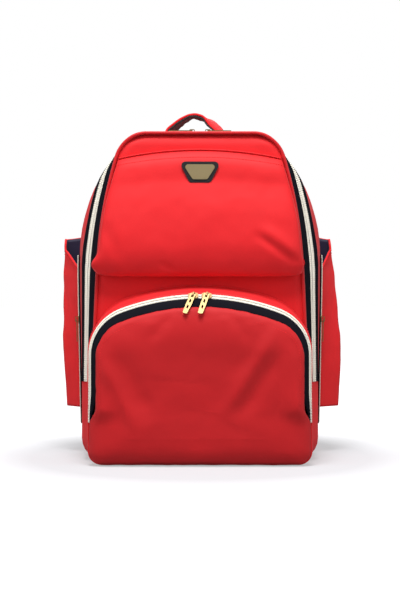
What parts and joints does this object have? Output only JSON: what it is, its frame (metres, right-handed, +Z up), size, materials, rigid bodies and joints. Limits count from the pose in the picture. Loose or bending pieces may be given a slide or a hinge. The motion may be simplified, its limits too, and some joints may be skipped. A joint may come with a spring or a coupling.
{
  "type": "utility backpack",
  "caption": "Wide-opening fabric backpack with a fold-down upper lid, a zipped lower front pocket, open side pockets, side zips, a grab handle and shoulder straps.",
  "frame": {"origin": "centre of the base face that the pack stands on", "axes": "+Z up, -Y towards the front pockets, +X towards the viewer's right"},
  "size_m": [0.368, 0.2445, 0.445],
  "materials": {
    "red_fabric": "woven polyester",
    "dark_fabric": "woven polyester",
    "navy_lining": "thin lining",
    "red_piping": "corded edge",
    "black_tape": "woven zip tape",
    "cream_coil": "moulded coil",
    "gold_metal": "plated casting",
    "black_rubber": "moulded rubber",
    "black_webbing": "flat webbing",
    "black_mesh": "spacer mesh",
    "black_plastic": "moulded acetal",
    "grey_board": "extruded sheet"
  },
  "bodies": {
    "pack": {"rear_shell": "red_fabric", "base_board": "grey_board", "frame_sheet": "grey_board", "lower_front_panel": "red_fabric", "lower_piping": "red_piping", "main_zip_tape_lower": "black_tape", "main_zip_teeth_lower": "cream_coil", "main_zip_tape_rear": "black_tape", "main_zip_teeth_rear": "cream_coil", "front_pocket_gusset": "red_fabric", "pocket_zip_teeth_outer": "cream_coil", "front_pocket_base": "red_fabric", "side_zip_tape_left": "black_tape", "side_zip_teeth_left": "cream_coil", "side_zip_tape_right": "black_tape", "side_zip_teeth_right": "cream_coil", "side_pocket_left": "red_fabric", "side_pocket_right": "red_fabric", "side_pocket_lining_left": "navy_lining", "side_pocket_lining_right": "navy_lining", "back_pad": "black_mesh", "yoke_panel": "dark_fabric", "strap_anchor_left": "dark_fabric", "strap_anchor_right": "dark_fabric", "handle_seat": "red_fabric"},
    "lid": {"lid_panel": "red_fabric", "lid_piping": "red_piping", "upper_pocket": "red_fabric", "badge_patch": "black_rubber", "badge_plate": "gold_metal", "lid_zip_tape": "black_tape", "lid_zip_teeth": "cream_coil"},
    "flap": {"flap_panel": "red_fabric", "flap_zip_tape": "black_tape", "flap_zip_teeth": "cream_coil"},
    "handle": {"handle_strap": "red_fabric", "handle_lining": "dark_fabric"},
    "strap_left": {"shoulder_strap_left": "black_mesh", "ladder_lock_left": "black_plastic", "strap_webbing_left": "black_webbing"},
    "strap_right": {"shoulder_strap_right": "black_mesh", "ladder_lock_right": "black_plastic", "strap_webbing_right": "black_webbing"},
    "main_slider_left": {"main_slider_left": "gold_metal"},
    "main_pull_left": {"main_pull_left": "gold_metal"},
    "main_slider_right": {"main_slider_right": "gold_metal"},
    "main_pull_right": {"main_pull_right": "gold_metal"},
    "front_slider_left": {"front_slider_left": "gold_metal"},
    "front_pull_left": {"front_pull_left": "gold_metal"},
    "front_slider_right": {"front_slider_right": "gold_metal"},
    "front_pull_right": {"front_pull_right": "gold_metal"},
    "side_slider_left": {"side_slider_left": "gold_metal"},
    "side_pull_left": {"side_pull_left": "gold_metal"},
    "side_slider_right": {"side_slider_right": "gold_metal"},
    "side_pull_right": {"side_pull_right": "gold_metal"}
  },
  "joints": [
    {"name": "lid_fold", "type": "hinge", "parent": "pack", "child": "lid", "pos_m": [0, -0.0705, 0.236], "axis": [1, 0, 0], "range_deg": [0, 50]},
    {"name": "flap_fold", "type": "hinge", "parent": "pack", "child": "flap", "pos_m": [0, -0.1275, 0.062], "axis": [1, 0, 0], "range_deg": [0, 60]},
    {"name": "handle_tilt", "type": "hinge", "parent": "pack", "child": "handle", "pos_m": [0, -0.01, 0.4246], "axis": [1, 0, 0], "range_deg": [-35, 35], "stiffness_Nm_per_rad": 0.05},
    {"name": "strap_swing_left", "type": "hinge", "parent": "pack", "child": "strap_left", "pos_m": [-0.054, 0.0737, 0.372], "axis": [1, 0, 0], "range_deg": [0, 25], "deforming": ["strap_webbing_left"]},
    {"name": "strap_swing_right", "type": "hinge", "parent": "pack", "child": "strap_right", "pos_m": [0.054, 0.0737, 0.372], "axis": [1, 0, 0], "range_deg": [0, 25], "deforming": ["strap_webbing_right"]},
    {"name": "main_slide_left", "type": "slide", "parent": "pack", "child": "main_slider_left", "axis": [-1, 0, 0], "range_m": [0, 0.024]},
    {"name": "main_pull_turn_left", "type": "hinge", "parent": "main_slider_left", "child": "main_pull_left", "pos_m": [-0.01, -0.0556, 0.4161], "axis": [0, 1, 0], "range_deg": [0, 95]},
    {"name": "main_slide_right", "type": "slide", "parent": "pack", "child": "main_slider_right", "axis": [1, 0, 0], "range_m": [0, 0.024]},
    {"name": "main_pull_turn_right", "type": "hinge", "parent": "main_slider_right", "child": "main_pull_right", "pos_m": [0.01, -0.0556, 0.4161], "axis": [0, -1, 0], "range_deg": [0, 95]},
    {"name": "front_slide_left", "type": "hinge", "parent": "pack", "child": "front_slider_left", "pos_m": [0, -0.1075, -0.069], "axis": [0, -1, 0], "range_deg": [0, 12]},
    {"name": "front_pull_turn_left", "type": "hinge", "parent": "front_slider_left", "child": "front_pull_left", "pos_m": [-0.00828, -0.11075, 0.20992], "axis": [-0.9346, 0.2649, 0.2373], "range_deg": [0, 95]},
    {"name": "front_slide_right", "type": "hinge", "parent": "pack", "child": "front_slider_right", "pos_m": [0, -0.1075, -0.069], "axis": [0, 1, 0], "range_deg": [0, 12]},
    {"name": "front_pull_turn_right", "type": "hinge", "parent": "front_slider_right", "child": "front_pull_right", "pos_m": [0.00828, -0.11075, 0.20992], "axis": [-0.9601, 0.183, 0.2116], "range_deg": [0, 95]},
    {"name": "side_slide_left", "type": "slide", "parent": "pack", "child": "side_slider_left", "axis": [-0.0205, 0, 0.9998], "range_m": [-0.095, 0.068]},
    {"name": "side_pull_turn_left", "type": "hinge", "parent": "side_slider_left", "child": "side_pull_left", "pos_m": [-0.16151, 0.00739, 0.1779], "axis": [-0.1206, 0.9927, -0.0025], "range_deg": [0, 95]},
    {"name": "side_slide_right", "type": "slide", "parent": "pack", "child": "side_slider_right", "axis": [0.0205, 0, 0.9998], "range_m": [-0.095, 0.068]},
    {"name": "side_pull_turn_right", "type": "hinge", "parent": "side_slider_right", "child": "side_pull_right", "pos_m": [0.16151, 0.00739, 0.1779], "axis": [-0.1206, -0.9927, 0.0025], "range_deg": [0, 95]}
  ]
}
